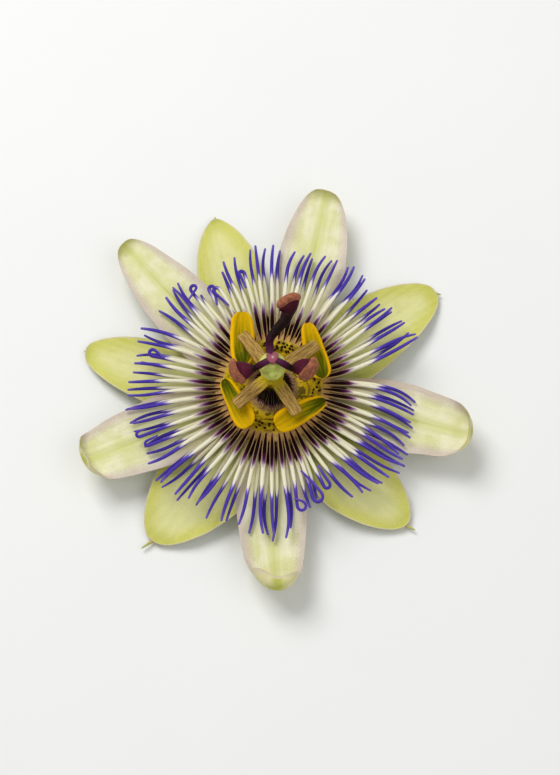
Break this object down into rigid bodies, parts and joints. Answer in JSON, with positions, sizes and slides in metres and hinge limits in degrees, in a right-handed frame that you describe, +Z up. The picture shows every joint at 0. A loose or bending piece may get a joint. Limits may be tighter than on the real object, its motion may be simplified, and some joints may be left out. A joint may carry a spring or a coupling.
{
  "type": "passion flower",
  "caption": "Open passion flower lying face up, with sepals, hooded petals, rings of long banded filaments and a central column with stamens, ovary and styles.",
  "frame": {"origin": "on the surface that the flower lies on, under the middle of its outline", "axes": "+Z up, along the flower's axis and out of its face; +Y towards the petal that stands nearest to it, petal_1, along the outline's longest extent; +X to the right seen from above"},
  "size_m": [0.0906, 0.1, 0.0302],
  "materials": {
    "cup_green": "waxy pale green",
    "sepal_green": "soft satin, yellow green with a pale rim",
    "petal_cream": "soft satin, cream yellow with a pinkish rim and an olive tip",
    "corona_cream": "soft satin, banded purple-black, cream and violet",
    "corona_violet": "soft satin, banded purple-black, cream and violet",
    "annulus_yellow": "satin, yellow with purple-black dots",
    "operculum_purple": "satin, yellow with a purple-black fringe",
    "column_olive": "matt olive, speckled purple",
    "anther_yellow": "powdery golden yellow",
    "ovary_green": "waxy pale green",
    "style_purple": "glossy dark purple with matt brown stigmas"
  },
  "bodies": {
    "root": {"cup": "cup_green", "sepal_1": "sepal_green", "sepal_2": "sepal_green", "sepal_3": "sepal_green", "sepal_4": "sepal_green", "sepal_5": "sepal_green", "petal_1": "petal_cream", "petal_2": "petal_cream", "petal_3": "petal_cream", "petal_4": "petal_cream", "petal_5": "petal_cream", "corona_lower": "corona_cream", "corona_upper": "corona_violet", "corona_short": "annulus_yellow", "operculum": "operculum_purple", "column": "column_olive", "anther_1": "anther_yellow", "anther_2": "anther_yellow", "anther_3": "anther_yellow", "anther_4": "anther_yellow", "ovary": "ovary_green", "styles": "style_purple"}
  },
  "joints": []
}
